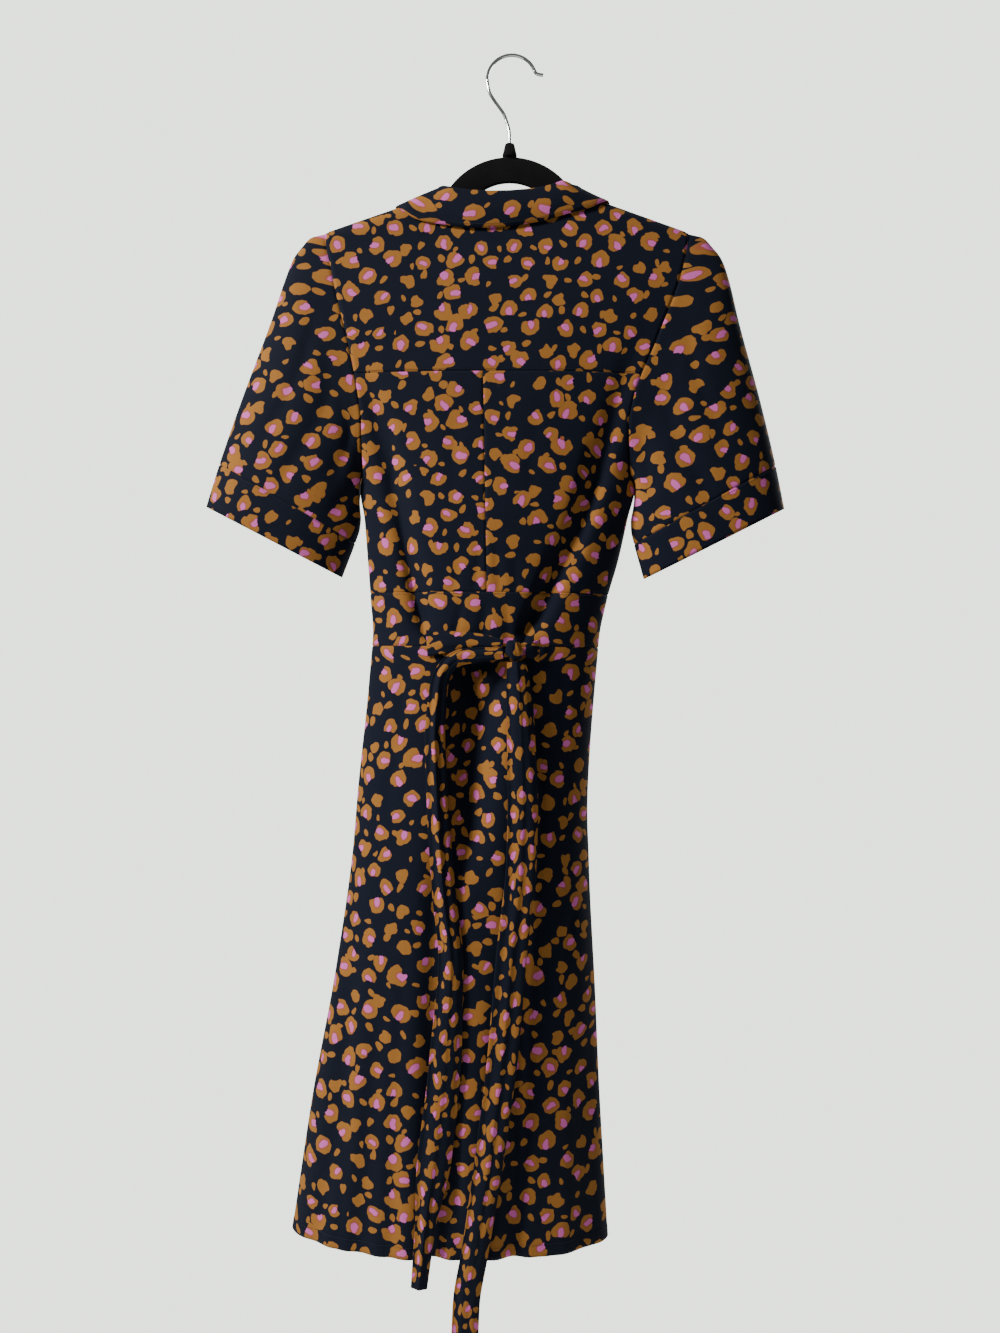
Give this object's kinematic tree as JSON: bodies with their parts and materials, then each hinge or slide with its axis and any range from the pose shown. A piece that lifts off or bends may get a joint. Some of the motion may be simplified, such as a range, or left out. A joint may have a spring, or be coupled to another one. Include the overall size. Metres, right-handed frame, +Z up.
{
  "type": "shirt dress on hanger",
  "caption": "Belted shirt dress with open collar, short banded sleeves and buttoned front, hung on a slim flocked hanger",
  "frame": {"origin": "Inside of the hook's top, where the hanger hangs on its rail or nail.", "axes": "+Z up; +X to the wearer's right; the dress's back faces -Y and its buttoned front +Y."},
  "size_m": [0.6814, 0.1053, 1.504],
  "materials": {
    "printed_cloth": "woven, matt, printed",
    "buttons": "semi-gloss",
    "flocking": "velvet flocking",
    "hook": "polished"
  },
  "bodies": {
    "root": {"back_left": "printed_cloth", "back_right": "printed_cloth", "back_yoke": "printed_cloth", "button_01": "buttons", "button_02": "buttons", "button_03": "buttons", "button_04": "buttons", "button_05": "buttons", "button_06": "buttons", "button_07": "buttons", "button_08": "buttons", "button_09": "buttons", "button_10": "buttons", "button_11": "buttons", "button_band": "printed_cloth", "collar": "printed_cloth", "front_left": "printed_cloth", "front_right": "printed_cloth", "hanger_body": "flocking", "hanger_hook": "hook", "hanger_nub": "flocking", "skirt_back": "printed_cloth", "skirt_front_left": "printed_cloth", "skirt_front_right": "printed_cloth", "sleeve_band_left": "printed_cloth", "sleeve_band_right": "printed_cloth", "sleeve_left": "printed_cloth", "sleeve_right": "printed_cloth", "tie_end_left": "printed_cloth", "tie_end_right": "printed_cloth", "tie_knot": "printed_cloth", "tie_root_left": "printed_cloth", "tie_root_right": "printed_cloth", "waistband_back": "printed_cloth", "waistband_front_left": "printed_cloth", "waistband_front_right": "printed_cloth"}
  },
  "joints": []
}
